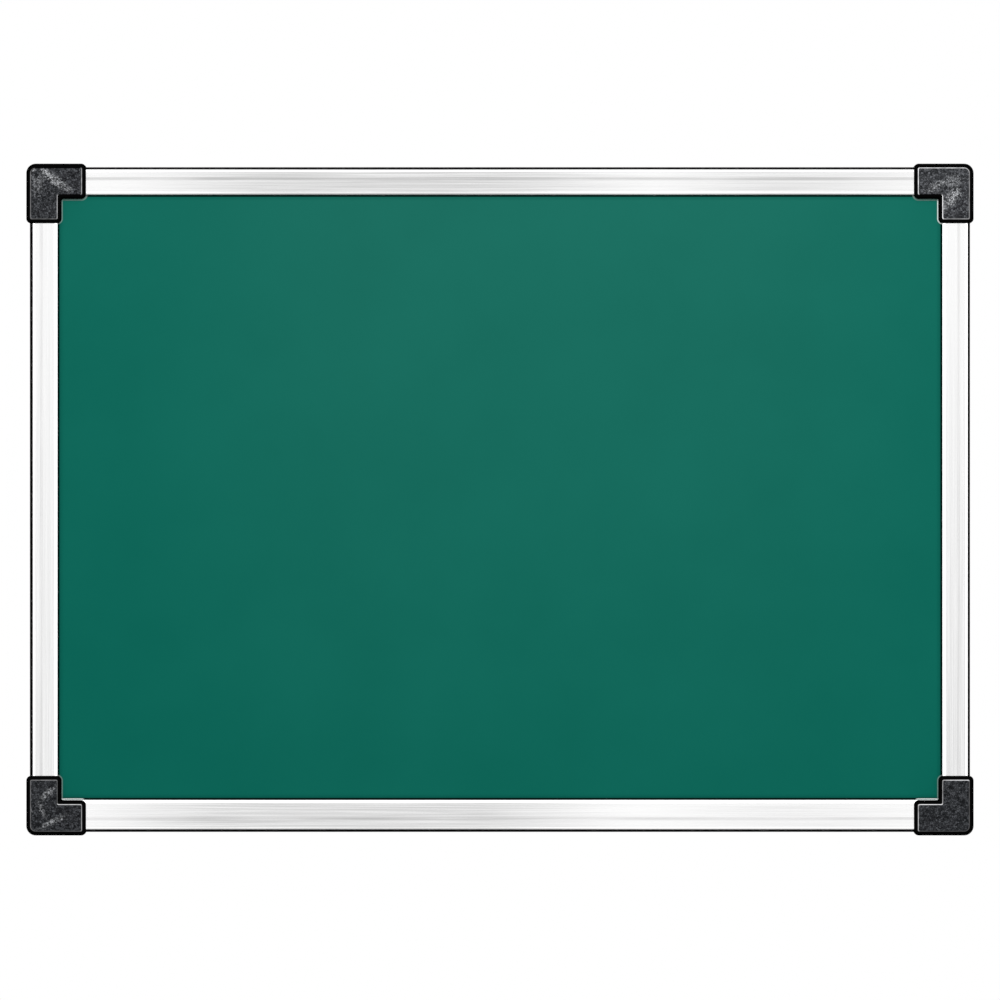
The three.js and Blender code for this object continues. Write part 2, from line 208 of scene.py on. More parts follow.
def dress(piece, body, slot, material, *nodes):
    """Hangs a finished piece on its body and lets it stand for CAD nodes, in its own material."""
    coat(piece, material)
    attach(piece, body)
    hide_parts(*nodes)
    return piece


# %% [markdown]
# ## Node graphs in a few words
# The materials below are built from noise, ramps and bumps. These helpers add a node with its
# settings and inputs in one call, so that each material reads as a recipe. A node joins the tree that
# its linked inputs lie in, and one without any joins the tree of a node that it is told.

# %% Adding nodes
def new_material(name):
    """A material with that name, and its shader."""
    material = bpy.data.materials.new(name)
    material.use_nodes = True
    return material, material.node_tree.nodes["Principled BSDF"]


def put(node, inputs):
    """Gives a node's inputs their values, and links those whose value is another node's output."""
    for name, value in inputs.items():
        if isinstance(value, bpy.types.NodeSocket):
            node.id_data.links.new(value, node.inputs[name])
        else:
            node.inputs[name].default_value = value


def add(kind, inputs, output, beside=None, **settings):
    """Adds a node of that kind with its settings and inputs, and returns one of its outputs."""
    linked = [value for value in inputs.values() if isinstance(value, bpy.types.NodeSocket)]
    node = (beside or linked[0]).id_data.nodes.new(kind)
    for name, value in settings.items():
        setattr(node, name, value)
    put(node, inputs)
    return node.outputs[output]


# %% The nodes most used
MIX_A, MIX_B, MIX_RESULT = 6, 7, 2


def stretched(beside, scale=(1, 1, 1), source="Object"):
    """Object or UV coordinates, stretched by a number for each axis."""
    place = add("ShaderNodeTexCoord", {}, source, beside)
    return add("ShaderNodeMapping", {"Vector": place, "Scale": scale}, "Vector")


def coordinate(vector, axis):
    return add("ShaderNodeSeparateXYZ", {"Vector": vector}, axis)


def noise(vector, scale, detail=2, roughness=0.5, output="Fac"):
    inputs = {"Vector": vector, "Scale": scale, "Detail": detail, "Roughness": roughness}
    return add("ShaderNodeTexNoise", inputs, output)


def remap(value, low, high, to_low=0, to_high=1, shape="LINEAR"):
    inputs = {"Value": value, "From Min": low, "From Max": high, "To Min": to_low, "To Max": to_high}
    return add("ShaderNodeMapRange", inputs, "Result", interpolation_type=shape)


# A fade is a remap whose ends are soft.
fade = partial(remap, shape="SMOOTHSTEP")


def calculate(operation, first, second=0):
    return add("ShaderNodeMath", {0: first, 1: second}, "Value", operation=operation)


def calculate_vector(operation, *inputs, output="Vector"):
    return add("ShaderNodeVectorMath", dict(enumerate(inputs)), output, operation=operation)


def mix(factor, first, second):
    """Mixes two colours. The node has sockets for every kind of value, so they go by their numbers."""
    inputs = {0: factor, MIX_A: first, MIX_B: second}
    return add("ShaderNodeMix", inputs, MIX_RESULT, data_type="RGBA")


def bump(height, strength, distance):
    inputs = {"Height": height, "Strength": strength, "Distance": distance}
    return add("ShaderNodeBump", inputs, "Normal")


OPERATIONS = "ADD", "SUBTRACT", "MULTIPLY", "MINIMUM", "MAXIMUM", "ABSOLUTE"
plus, minus, times, smaller, larger, size_of = (partial(calculate, name) for name in OPERATIONS)


# %% Colours
def grey(value):
    return (value, value, value, 1)


def srgb(red, green, blue):
    """A colour from its three 0 to 255 values: each is undone from the display's curve, which is a power
    of 2.4 with a short straight foot."""
    parts = np.array((red, green, blue)) / 255
    linear = np.where(parts <= 0.04045, parts / 12.92, ((parts + 0.055) / 1.055) ** 2.4)
    return (*linear.tolist(), 1)


# %% [markdown]
# ## Green enamel
# The writing surface is steel with a matt green enamel fired on it. It is nearly even, with a
# faint cloudiness a hand wide, a fine tooth that holds the chalk, and a breath of chalk, most of it
# towards the top and less at the sides; that is also painted light, which makes the top a little
# lighter. Along the frame's lips a band of painted shade darkens the green, with a thin, darker line
# of painted shade right at each lip, and beside the caps a thin pale line is a painted highlight,
# most of it above the bottom caps and beside the top right one. Such lines could be painted on an
# image, but the distance to the nearest lip or cap draws them sharply at any size. The enamel's
# shine is very weak.

# %% Distances on the board
CAP_ARM_LENGTH, CAP_ARM_WIDTH, CAP_END = 35.5 * MM, 20.1 * MM, 3 * MM


def away_from(value, middle):
    return size_of(minus(value, middle))


def depth_inside(place, low, high):
    """Distance from a point to the nearest side of a box in X and Z. Along each axis that is half the
    box less how far the point is from its middle, and the smaller of the two counts."""
    gaps = []
    for axis, first, last in zip("XZ", low, high):
        off_middle = away_from(coordinate(place, axis), (first + last) / 2)
        gaps.append(minus((last - first) / 2, off_middle))
    return smaller(*gaps)


def depth_beyond_arm(place, reach_x, reach_z):
    """Distance from a point to a cap's arm that reaches that far in from the frame's sides: the length
    of the way inwards from the middle of the arm's rounded corner, less the corner's radius. Ways
    outwards count as none."""
    middle = (frame_high.x - reach_x + CAP_END, 0, frame_top - reach_z + CAP_END)
    inwards = calculate_vector("SUBTRACT", middle, calculate_vector("ABSOLUTE", place))
    inwards = calculate_vector("MAXIMUM", inwards, (0, 0, 0))
    return minus(calculate_vector("LENGTH", inwards, output="Value"), CAP_END)


# %% Writing surface
WIPED_MIDDLE, WIPED_FADE = 30 * MM, (100 * MM, 310 * MM)
HALF_HEIGHT = 200 * MM
MIDDLE_BAND = -10 * MM, 10 * MM
LIP_SHADE_WIDTH, LIP_SHADE_LINE_WIDTH = (1 * MM, 4 * MM), (0.6 * MM, 1.3 * MM)
CAP_HIGHLIGHT_ABOVE, CAP_HIGHLIGHT_BESIDE = (0.8 * MM, 1.3 * MM), (0.4 * MM, 0.9 * MM)
TOP_RIGHT = 300 * MM, 400 * MM

enamel, shader = new_material("green_enamel")
place = stretched(shader)
across, height = coordinate(place, "X"), coordinate(place, "Z")
clouds = noise(place, 14, 3, 0.55)
tooth = noise(place, 2600, 2, 0.6)
# Chalk haze, partly painted light: it grows towards the top and the middle, which makes the top of the
# board a little lighter.
wiped = fade(away_from(across, WIPED_MIDDLE), *WIPED_FADE, 1, 0.4)
chalk_and_top_light = times(wiped, remap(height, -HALF_HEIGHT, HALF_HEIGHT, 0.002, 0.01))
tint = mix(remap(clouds, 0.3, 0.7), srgb(5, 99, 85), srgb(8, 102, 88))
tint = mix(chalk_and_top_light, tint, grey(0.8))

opening_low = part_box("rail_left")[1].x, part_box("rail_bottom")[1].z
opening_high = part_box("rail_right")[0].x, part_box("rail_top")[0].z
to_lip = depth_inside(place, opening_low, opening_high)
# Painted shade: the green darkens in a band along the frame's lips, with a thin, darker line of painted
# shade right at each lip.
tint = mix(fade(to_lip, *LIP_SHADE_WIDTH, 0.3, 0), tint, srgb(2, 60, 52))
tint = mix(fade(to_lip, *LIP_SHADE_LINE_WIDTH, 1, 0), tint, srgb(1, 9, 8))

# Painted highlight: a thin pale line on the green beside the caps' arms, strongest above the bottom caps
# and beside the top right one.
lower = remap(height, *MIDDLE_BAND, 1, 0.16)
top_right = remap(plus(across, height), *TOP_RIGHT, 0.2, 0.85)
above_arm = depth_beyond_arm(place, CAP_ARM_LENGTH, CAP_ARM_WIDTH)
beside_arm = depth_beyond_arm(place, CAP_ARM_WIDTH, CAP_ARM_LENGTH)
highlight_above_arm = fade(above_arm, *CAP_HIGHLIGHT_ABOVE, lower, 0)
highlight_beside_arm = fade(beside_arm, *CAP_HIGHLIGHT_BESIDE, top_right, 0)
tint = mix(larger(highlight_above_arm, highlight_beside_arm), tint, srgb(240, 250, 247))

put(shader, {
    "Base Color": tint, "Roughness": remap(tooth, 0.2, 0.8, 0.62, 0.8),
    "Normal": bump(tooth, 0.25, 0.04 * MM), "Specular IOR Level": 0.03,
})

# %% [markdown]
# ## The panel's hidden layers
# The core is soft fibreboard and the back is galvanised steel. Galvanising leaves flat crystals with
# straight borders, the spangle. Noise would blur them, so Voronoi cells are used: each has its own
# slight grey and its own roughness.

# %% Core and back sheet
SPANGLE_SCALE = 90


def cell_shade(place, scale):
    """Splits space into Voronoi cells, and gives each a shade of its own."""
    colour = add("ShaderNodeTexVoronoi", {"Vector": place, "Scale": scale}, "Color")
    return add("ShaderNodeSeparateColor", {"Color": colour}, "Red")


fibre, shader = new_material("fibreboard")
flecks = noise(stretched(shader, (1, 6, 1)), 900, 4, 0.7)
tint = mix(remap(flecks, 0.35, 0.65), srgb(120, 92, 62), srgb(166, 134, 96))
put(shader, {"Base Color": tint, "Roughness": 0.95, "Normal": bump(flecks, 0.5, 0.3 * MM)})

galvanised, shader = new_material("galvanised_sheet")
place = stretched(shader)
crystal = cell_shade(place, SPANGLE_SCALE)
haze = noise(place, 9, 3)
tint = mix(crystal, srgb(176, 180, 182), srgb(206, 209, 211))
tint = mix(remap(haze, 0.35, 0.75, 0, 0.5), tint, srgb(160, 164, 166))
put(shader, {"Base Color": tint, "Roughness": remap(crystal, 0, 1, 0.38, 0.55), "Metallic": 0.9})

layers = {"writing_sheet": enamel, "core_panel": fibre, "back_sheet": galvanised}
for node, material in layers.items():
    coat(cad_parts[node], material)
print("panel layers dressed:", list(layers))

# %% [markdown]
# ## Brushed aluminium
# The rails are extruded, brushed along their length and clear anodised. The brushing shows as fine
# grey lines of very different lengths, so the noise is stretched along the rail. Each rail carries a
# UV map in metres, first along it and then round its section, so one material serves all four. The
# long rails' faces are greyer in two patches, most of all left of the middle, and the side rails get
# greyer downwards. Painted shade darkens the fine line along each face. Only the front is brushed:
# the sides and the back keep the dull grey of the press.

# %% Where the rail faces are greyer
RIGHT, LEFT, UP, DOWN = (1, 0, 0), (-1, 0, 0), (0, 0, 1), (0, 0, -1)
RAILS = {"rail_top": DOWN, "rail_bottom": UP, "rail_left": RIGHT, "rail_right": LEFT}
spans = {name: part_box(name)[1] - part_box(name)[0] for name in RAILS}
# Each greyer place is fully grey up to the first distance and least grey beyond the second, then
# the middle's X and the full greying, on the bottom rail and on the top rail.
GREYER_PLACES = (
    (0.05, 0.19, (-0.095, 1.15), (-0.07, 1.0)),
    (0.0, 0.11, (0.19, 0.36), (0.185, 0.66)),
)
LEAST_GREYING = 0.1
LONG_RAIL_HEIGHT = 189 * MM
SIDE_RAILS_X = 280 * MM
SIDE_GREYING = (0.12, 0.04), (0.5, 0.66)
SIDE_GREYING_FROM, SIDE_GREYING_TO = 180 * MM, -150 * MM
FACE_LINE_SHARE = 0.41
LINE_SHADE_WIDTH = 0.3 * MM, 1.5 * MM
SIDE_LINE_SHADE, BOTTOM_LINE_SHADE, TOP_LINE_SHADE = 0.16, 0.23, 0.34
BRUSHED_DEPTH, DULL_DEPTH = 2.6 * MM, 2.9 * MM


def rail_greying(across, height, is_long):
    """How grey a point of a rail's face is."""
    greyer = []
    for near, far, *bottom_and_top in GREYER_PLACES:
        middle, most = (remap(height, *MIDDLE_BAND, *pair) for pair in zip(*bottom_and_top))
        greyer.append(fade(away_from(across, middle), near, far, most, LEAST_GREYING))
    upper, lower = (remap(across, -SIDE_RAILS_X, SIDE_RAILS_X, *greying_range) for greying_range in SIDE_GREYING)
    side_greying = remap(height, SIDE_GREYING_FROM, SIDE_GREYING_TO, upper, lower)
    return remap(is_long, 0, 1, side_greying, larger(*greyer))


def line_shade(place, is_long, is_bottom, patches):
    """How much painted shade darkens a point along the fine line on a face, from its distance to the
    line's middle.
    """
    from_edge = depth_inside(place, (frame_low.x, frame_bottom), (frame_high.x, frame_top))
    line_top, line_bottom = (FACE_LINE_SHARE * spans[rail].z for rail in ("rail_top", "rail_bottom"))
    from_line = away_from(from_edge, remap(is_bottom, 0, 1, line_top, line_bottom))
    most = remap(is_long, 0, 1, SIDE_LINE_SHADE, remap(is_bottom, 0, 1, TOP_LINE_SHADE, BOTTOM_LINE_SHADE))
    most = times(most, remap(patches, 0.35, 0.65, 0.5, 1.3))
    return fade(from_line, *LINE_SHADE_WIDTH, most, 0)


# %% Rail material
rail_metal, shader = new_material("brushed_aluminium")
place = stretched(shader)
across, depth, height = (coordinate(place, axis) for axis in "XYZ")
fine_lines = noise(stretched(shader, (9, 1300, 1), "UV"), 1, 3, 0.6)
broad_lines = noise(stretched(shader, (4, 330, 1), "UV"), 1)
patches = noise(stretched(shader, (13, 60, 1), "UV"), 1)
is_long = calculate("GREATER_THAN", size_of(height), LONG_RAIL_HEIGHT)
is_bottom = calculate("LESS_THAN", height, -LONG_RAIL_HEIGHT)

lines = mix(remap(fine_lines, 0.32, 0.68), grey(0.6), grey(0.86))
lines = mix(remap(broad_lines, 0.4, 0.7, 0, 0.5), lines, grey(0.62))
front_tint = mix(rail_greying(across, height, is_long), grey(0.97), lines)
# Painted shade darkens the fine line along each face.
front_tint = mix(line_shade(place, is_long, is_bottom, patches), front_tint, grey(0.2))
side_tint = mix(remap(fine_lines, 0.3, 0.7), grey(0.6), grey(0.74))
dull = remap(depth, rail_front + BRUSHED_DEPTH, rail_front + DULL_DEPTH)
front_roughness = remap(fine_lines, 0.3, 0.7, 0.15, 0.24)
put(shader, {
    "Base Color": mix(dull, front_tint, side_tint), "Metallic": 1,
    "Roughness": remap(dull, 0, 1, front_roughness, 0.5), "Normal": bump(fine_lines, 0.1, 0.03 * MM),
})
print("rail spans:", {name: [round(1000 * size, 1) for size in span] for name, span in spans.items()})

# %% [markdown]
# ## Rail section
# A rail is one section carried along a straight line. The section has a hollow along its outer edge,
# which takes the tenons of the caps, and a groove between two lips, which holds the panel. A fine line
# runs along the face, which falls away softly to both edges. The outer edge is a slanting flat, and
# mirrors the dark surround: it draws the dark outline of the frame. In the section, u runs inwards
# from the frame's outer edge and v runs forwards from the rail's back. The left rail's flat is a
# little wider, as its dark line is in the photograph.

# %% Rail section
RAIL_WALL = 1.3 * MM
CHAMBER_WIDTH = 9.7 * MM
CHAMBER_CORNER = 1.5 * MM
BACK_RADIUS = 0.8 * MM
SHOULDER_START, SHOULDER_TILT = 10, 22
OUTER_SHOULDER, LIP_SHOULDER = 6.3 * MM, 9.4 * MM
EDGE_TILT = 46
EDGE_LENGTH, LEFT_EDGE_LENGTH = 2.1 * MM, 2.6 * MM
SMALL_RADIUS, SIDE_RADIUS = 0.3 * MM, 0.12 * MM
LIP_RADIUS = 0.75 * MM
FACE_LINE_WIDTH = 2.4 * MM
FACE_LINE_DEPTH = 0.05 * MM
rail_depth = rail_back - rail_front
groove_floor = 2 * RAIL_WALL + CHAMBER_WIDTH


def face_line(face):
    """The fine line along a rail's face: its depth is one wave of a cosine over its width."""
    across = np.linspace(0.5, -0.5, 17)
    depth = FACE_LINE_DEPTH * (1 + np.cos(2 * math.pi * across)) / 2
    return np.column_stack((FACE_LINE_SHARE * face + across * FACE_LINE_WIDTH, rail_depth - depth))


def outer_edge(length):
    """The front outer edge, from the face to the side: a nearly flat shoulder and a slanting flat of
    that length, with small roundings between them, in one chain that ends on the side."""
    start, shoulder, edge = 90 + SHOULDER_START, 90 + SHOULDER_TILT, 90 + EDGE_TILT
    slant = np.radians(edge)
    flat = length * np.array(((0, 0), (-math.sin(slant), math.cos(slant))))
    path = chain(
        arc((0, 0), SMALL_RADIUS, 90, start, 3), arc((0, 0), OUTER_SHOULDER, start, shoulder, 6),
        arc((0, 0), SMALL_RADIUS, shoulder, edge, 4), flat, arc((0, 0), SIDE_RADIUS, edge, 180, 6),
    )
    return path - (path[-1, 0], path[0, 1] - rail_depth)


def lip_edge(face):
    """The front inner edge, from the panel to the face: a rounding and a nearly flat shoulder."""
    start, shoulder = 90 - SHOULDER_START, 90 - SHOULDER_TILT
    path = chain(
        arc((0, 0), LIP_RADIUS, 0, shoulder, 7), arc((0, 0), LIP_SHOULDER, shoulder, start, 6),
        arc((0, 0), SMALL_RADIUS, start, 90, 3),
    )
    return path - (path[0, 0] - face, path[-1, 1] - rail_depth)


# %% Whole section
def rail_outline(face, edge_length):
    """The section's outside, anticlockwise from the back of the inner edge, for a rail that wide."""
    low, high = RAIL_WALL, rail_depth - RAIL_WALL
    groove = [(face, 0), (face, low), (groove_floor, low), (groove_floor, high), (face, high)]
    back = arc((BACK_RADIUS, BACK_RADIUS), BACK_RADIUS, 180, 270, 6)
    return np.vstack((groove, lip_edge(face), face_line(face), outer_edge(edge_length), back))


def chamber_outline(inset=0.0):
    """The hollow's outline, clockwise, with its front outer corner rounded, drawn in by a clearance."""
    low = RAIL_WALL + inset
    u_high = RAIL_WALL + CHAMBER_WIDTH - inset
    v_high = rail_depth - RAIL_WALL - inset
    radius = CHAMBER_CORNER - inset
    corner = arc((low + radius, v_high - radius), radius, 180, 90, 6)
    return np.vstack(([(low, low)], corner, [(u_high, v_high), (u_high, low)]))


print(f"rail {1000 * rail_depth:.1f} mm deep, groove floor {1000 * groove_floor:.1f} mm in")

# %% [markdown]
# ## Rails
# A rail's body is both outlines at each of its ends, joined by long quads, and the ends are filled
# round the hollow with triangles. A bevelled curve could carry the section too, but it would close the
# hollow's ends. Holes for the screws and the rivets are cut through the back wall. The UV map is made
# before the cutting, which keeps it.

# %% Carrying a section
def map_along(rail, along, section_size):
    """UV map in metres: first the distance along the rail, then the distance round the outline."""
    points = rows_of(rail.data, "vertices", "co", 3)
    steps = np.linalg.norm(np.diff(points[:section_size], axis=0), axis=1)
    around = np.tile(np.concatenate(([0], np.cumsum(steps))), 2)
    uv = np.column_stack((points @ along, around))
    corner_points = rows_of(rail.data, "loops", "vertex_index", 1, int).ravel()
    rail.data.uv_layers.new(name="along_rail").data.foreach_set("uv", uv[corner_points].ravel())


def extrusion(name, loops, start, axes, length):
    """Closed loops of a section, the first the outside and the second its hollow, carried straight:
    each point is the start, plus u and v along two axes, plus the length along the third."""
    u_axis, v_axis, along = (np.array(axis, float) for axis in axes)
    section = np.vstack(loops)
    count = len(section)
    flat = np.array(start) + section[:, :1] * u_axis + section[:, 1:] * v_axis
    points = np.vstack((flat, flat + length * along))
    rings = np.split(np.arange(count), np.cumsum([len(loop) for loop in loops])[:-1])
    following = np.concatenate([np.roll(ring, -1) for ring in rings])
    sides = np.column_stack((np.arange(count), following, following + count, np.arange(count) + count))
    fill = np.array(tessellate_polygon([[Vector((*point, 0)) for point in loop] for loop in loops]))
    edges = section[fill[:, 1:]] - section[fill[:, :1]]
    turned_left = edges[:, 0, 0] * edges[:, 1, 1] > edges[:, 0, 1] * edges[:, 1, 0]
    fill = np.where(turned_left[:, None], fill, fill[:, ::-1])
    rail = mesh_object(name, points, sides.tolist() + fill[:, ::-1].tolist() + (fill + count).tolist())
    map_along(rail, along, count)
    return rail


# %% Holes
SCREW_PLACE, SCREW_ACROSS = 30 * MM, RAIL_WALL + CHAMBER_WIDTH / 2
SCREW_HOLE, RIVET_HOLE = 1.6 * MM, 1.7 * MM
DRILL_REACH, DRILL_POINTS = 1 * MM, 24


def drill(x, z, radius):
    """Round cutter along Y, from in front of a rail's back wall to behind it."""
    depths = rail_back + DRILL_REACH, rail_back - RAIL_WALL - DRILL_REACH
    return loft("drill", stack([circle((x, z), radius, DRILL_POINTS)] * 2, depths, 1))


def screw_places():
    """X and Z of the eight screws, in the order of their nodes. Each corner has one along either rail,
    and which comes first changes from corner to corner."""
    corners = ((-1, 1), (1, 1), (1, -1), (-1, -1))
    insets = [(SCREW_PLACE, SCREW_ACROSS), (SCREW_ACROSS, SCREW_PLACE)]
    places = []
    for x, z in corners:
        places += [(x * (frame_high.x - side), z * (frame_top - end)) for side, end in insets]
        insets.reverse()
    return places


rivet_x, _, rivet_z = sum(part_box("hanger_rivet_right"), Vector()) / 2
holes = [(x, z, SCREW_HOLE) for x, z in screw_places()]
holes += [(-rivet_x, rivet_z, RIVET_HOLE), (rivet_x, rivet_z, RIVET_HOLE)]

# %% Build the rails
FORWARD = (0, -1, 0)

for node, inwards in RAILS.items():
    low, high = (np.array(corner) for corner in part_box(node))
    along = np.cross(inwards, FORWARD)
    face, length = abs((high - low) @ inwards), abs((high - low) @ along)
    start = np.where(np.array(inwards) + along > 0, low, high)
    start[1] = rail_back
    edge_length = LEFT_EDGE_LENGTH if node == "rail_left" else EDGE_LENGTH
    loops = (rail_outline(face, edge_length), chamber_outline())
    rail = extrusion(f"{node}_extrusion", loops, start, (inwards, FORWARD, along), length)
    own_holes = [(x, z, r) for x, z, r in holes if low[0] < x < high[0] and low[2] < z < high[2]]
    carve(rail, [("DIFFERENCE", drill(x, z, r)) for x, z, r in own_holes])
    dress(rail, "board", "rail", rail_metal, node)
    print(node, f"{1000 * face:.1f} by {1000 * length:.0f} mm, {len(own_holes)} holes")

# %% [markdown]
# ## Black plastic
# The caps are moulded. Their faces are grained and scatter light enough to look dark grey, while the
# rounded edges are smooth and black. Behind them the sides, the back and the hollows keep the fine
# dull texture of the mould, and are a little lighter. The mesh says which is which in front: it
# carries one number for the grain and one for the rim, the thin line round the face, which carries a
# painted highlight. The grain is made of Voronoi cells, bent by a noise so that none is regular: each
# is a pebble with its own shade, and the creases between them are dark. Painted light makes the faces
# lighter towards the top and the right. Light scuffs cross three of the faces slantwise, and they are
# also a painted sheen. Each is a soft, ragged oval that whitens the tops of the pebbles.

# %% Scuffs
# Scuffs that are also a painted sheen: X and Z of the middle, half length and half width in mm, turn in
# degrees, and strength.
SCUFFS_AND_SHEEN = (
    (-281.5, 201.8, 13.5, 3.4, -34, 0.7), (-287.4, 206.8, 4.6, 3, -20, 0.9),
    (-292, 200, 4.5, 10, 0, 0.26), (-294.5, 208, 1.6, 1.6, 0, 1.0),
    (277, 199, 9.5, 2.6, 25, 0.5), (285.6, 191.6, 8.6, 4.2, 60, 0.85),
    (286, 201, 8, 5, 0, 0.3), (280.5, 185.5, 1.6, 4, 0, 0.8),
    (-282.5, -203.5, 10.4, 2.2, 27, 0.6), (-286, -186, 7.8, 2.2, 43, 0.6),
    (-289, -196.5, 6.4, 1.9, -66, 0.5), (-296, -197, 1.5, 1.7, 0, 0.6),
)
SCUFF_REACH = 1000
SCUFF_RAGGED, SCUFF_EDGE = 1.6, (0.9, 2.0)


def scuff(place, x, z, half_length, half_width, turn, strength):
    """How strongly one scuff, also a painted sheen, marks a point: fully inside, and not at all beyond
    the oval's edge.
    Measured in half lengths and half widths from its middle, the edge is at a distance of 1, less or
    more by a noise."""
    inputs = {
        "Vector": place, "Location": (x * MM, 0, z * MM), "Rotation": (0, -math.radians(turn), 0),
        "Scale": (half_length * MM, SCUFF_REACH, half_width * MM),
    }
    oval = add("ShaderNodeMapping", inputs, "Vector", vector_type="TEXTURE")
    distance = calculate_vector("LENGTH", oval, output="Value")
    ragged = times(noise(place, 330, 3, 0.6), SCUFF_RAGGED)
    return fade(plus(distance, ragged), *SCUFF_EDGE, strength, 0)


# %% Cap material
PEBBLE_SCALE, PEBBLE_WOBBLE = 880, 0.9 * MM
BACK_TINT_FROM = 1.3 * MM, 2.3 * MM

plastic, shader = new_material("black_plastic")
place = stretched(shader)
across, depth, height = (coordinate(place, axis) for axis in "XYZ")
grained, rim = (
    add("ShaderNodeAttribute", {}, "Fac", shader, attribute_name=key) for key in ("grain", "rim")
)
wobble = noise(place, 1200, output="Color")
bent = calculate_vector("MULTIPLY_ADD", wobble, (PEBBLE_WOBBLE, 0, PEBBLE_WOBBLE), place)
cells = {"Vector": bent, "Scale": PEBBLE_SCALE}
to_crease = add("ShaderNodeTexVoronoi", cells, "Distance", feature="DISTANCE_TO_EDGE")
own_shade = cell_shade(bent, PEBBLE_SCALE)
top = fade(to_crease, 0.01, 0.17)
pebbles = times(remap(own_shade, 0, 1, 0.1, 1), remap(top, 0, 1, 0.2, 1))

# Painted light: the caps' faces are lighter towards the top and the right.
to_right = remap(across, -HALF_HEIGHT, HALF_HEIGHT, 0.2, 1)
upper = times(remap(height, -HALF_HEIGHT, HALF_HEIGHT), to_right)
dark_face = mix(upper, srgb(12, 13, 15), srgb(18, 19, 21))
light_face = mix(upper, srgb(83, 85, 89), srgb(102, 104, 108))
face_tint = mix(pebbles, dark_face, light_face)
# Scuffs, which are also a painted sheen, whiten the tops of the pebbles.
scuffs_and_sheen = 0
for values in SCUFFS_AND_SHEEN:
    scuffs_and_sheen = larger(scuff(place, *values), scuffs_and_sheen)
shown = remap(times(own_shade, top), 0.05, 0.6, 0.05, 0.96)
face_tint = mix(times(scuffs_and_sheen, shown), face_tint, srgb(206, 208, 211))

eroded = noise(place, 2400, 2, 0.6)
back_tint = mix(remap(eroded, 0.35, 0.65), srgb(24, 24, 25), srgb(44, 44, 46))
behind_edge = remap(depth, *(rail_front + offset for offset in BACK_TINT_FROM))
smooth_tint = mix(behind_edge, srgb(2, 2, 2), back_tint)
tint = mix(grained, smooth_tint, face_tint)
# Painted highlight: the rim is lightened, more or less along it by a noise.
rim_highlight = times(rim, remap(noise(place, 240, 3), 0.3, 0.6, 0.55, 1))
relief = remap(grained, 0, 1, times(eroded, 0.15), top)

put(shader, {
    "Base Color": mix(rim_highlight, tint, srgb(250, 250, 252)), "Specular IOR Level": 0.015,
    "Roughness": remap(grained, 0, 1, 0.4, 0.7), "Normal": bump(relief, 0.5, 0.2 * MM),
})

# %% [markdown]
# ## Cap shell
# Seen from the front a cap is an L with rounded corners. Its shell is a grid: across the columns the
# point moves round the L, and down the rows it moves from the grained face over the rim and the
# rounded front edge to the flat back. Each row is the same outline drawn in by some distance. A bevel
# would round all corners alike. Here the outer ones get smaller radii on the way in, down to a least
# one, and the inner corner keeps its radius. Where a radius stays, the arc's centre moves along the
# corner's diagonal instead.

# %% Outline of a cap
CAP_STAND = 2.2 * MM
CAP_CORNER, CAP_INNER = 6 * MM, 1 * MM
LEAST_CORNER, LEAST_END = 2.2 * MM, 0.9 * MM
cap_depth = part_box("corner_cap_top_left")[1].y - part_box("corner_cap_top_left")[0].y


def cap_arcs():
    """The outline's six arcs, anticlockwise: centre, radius, the least radius that it shrinks to, and
    first and last angle. The cap's own axes run along its two arms from the frame's corner."""
    end, low = CAP_ARM_LENGTH - CAP_END, CAP_END - CAP_STAND
    corner, side = CAP_CORNER - CAP_STAND, CAP_ARM_WIDTH - CAP_END
    inner = CAP_ARM_WIDTH + CAP_INNER
    return np.array((
        (corner, corner, CAP_CORNER, LEAST_CORNER, 180, 270),
        (end, low, CAP_END, LEAST_END, 270, 360),
        (end, side, CAP_END, LEAST_END, 0, 90),
        (inner, inner, CAP_INNER, CAP_INNER, 270, 180),
        (side, end, CAP_END, LEAST_END, 0, 90),
        (low, end, CAP_END, LEAST_END, 90, 180),
    ))


def cap_outline(inset, steps=10):
    """All arcs' points, rows x columns x 2: the centre plus the radius times the cosine and sine. Where
    an arc's radius changes by less than the inset, its centre makes up for it along the diagonal."""
    arcs = cap_arcs()
    share = np.linspace(0, 1, steps + 1)
    angle = np.radians(arcs[:, 4:5] + (arcs[:, 5:6] - arcs[:, 4:5]) * share)
    direction = np.stack((np.cos(angle), np.sin(angle)), axis=-1)
    outwards = np.sign(arcs[:, 5] - arcs[:, 4])
    diagonal = np.sign(direction[:, steps // 2]) * outwards[:, None]
    inset = np.asarray(inset)[:, None]
    radius = np.maximum(arcs[:, 2] - inset, arcs[:, 3])
    made_up = inset - (arcs[:, 2] - radius)
    centre = arcs[:, :2] - made_up[..., None] * diagonal
    points = centre[:, :, None] + radius[..., None, None] * direction
    return points.reshape(len(inset), -1, 2)


# %% Rows of the shell
CAP_FILLET, BACK_CHAMFER = 2 * MM, 0.3 * MM
EDGE_MARGIN, RIM_WIDTH, FACE_SINK = 0.55 * MM, 0.42 * MM, 0.12 * MM
STEP, FACE_BORDER = 0.08 * MM, 0.5 * MM


def along_edges(values, steps=10):
    """One number for each column from one for each of the outline's six straight edges: an arc's
    columns pass evenly from the edge before it to the edge after it."""
    values = np.array(values, float)[:, None]
    share = np.linspace(0, 1, steps + 1)
    return (values + (np.roll(values, -1, axis=0) - values) * share).ravel()


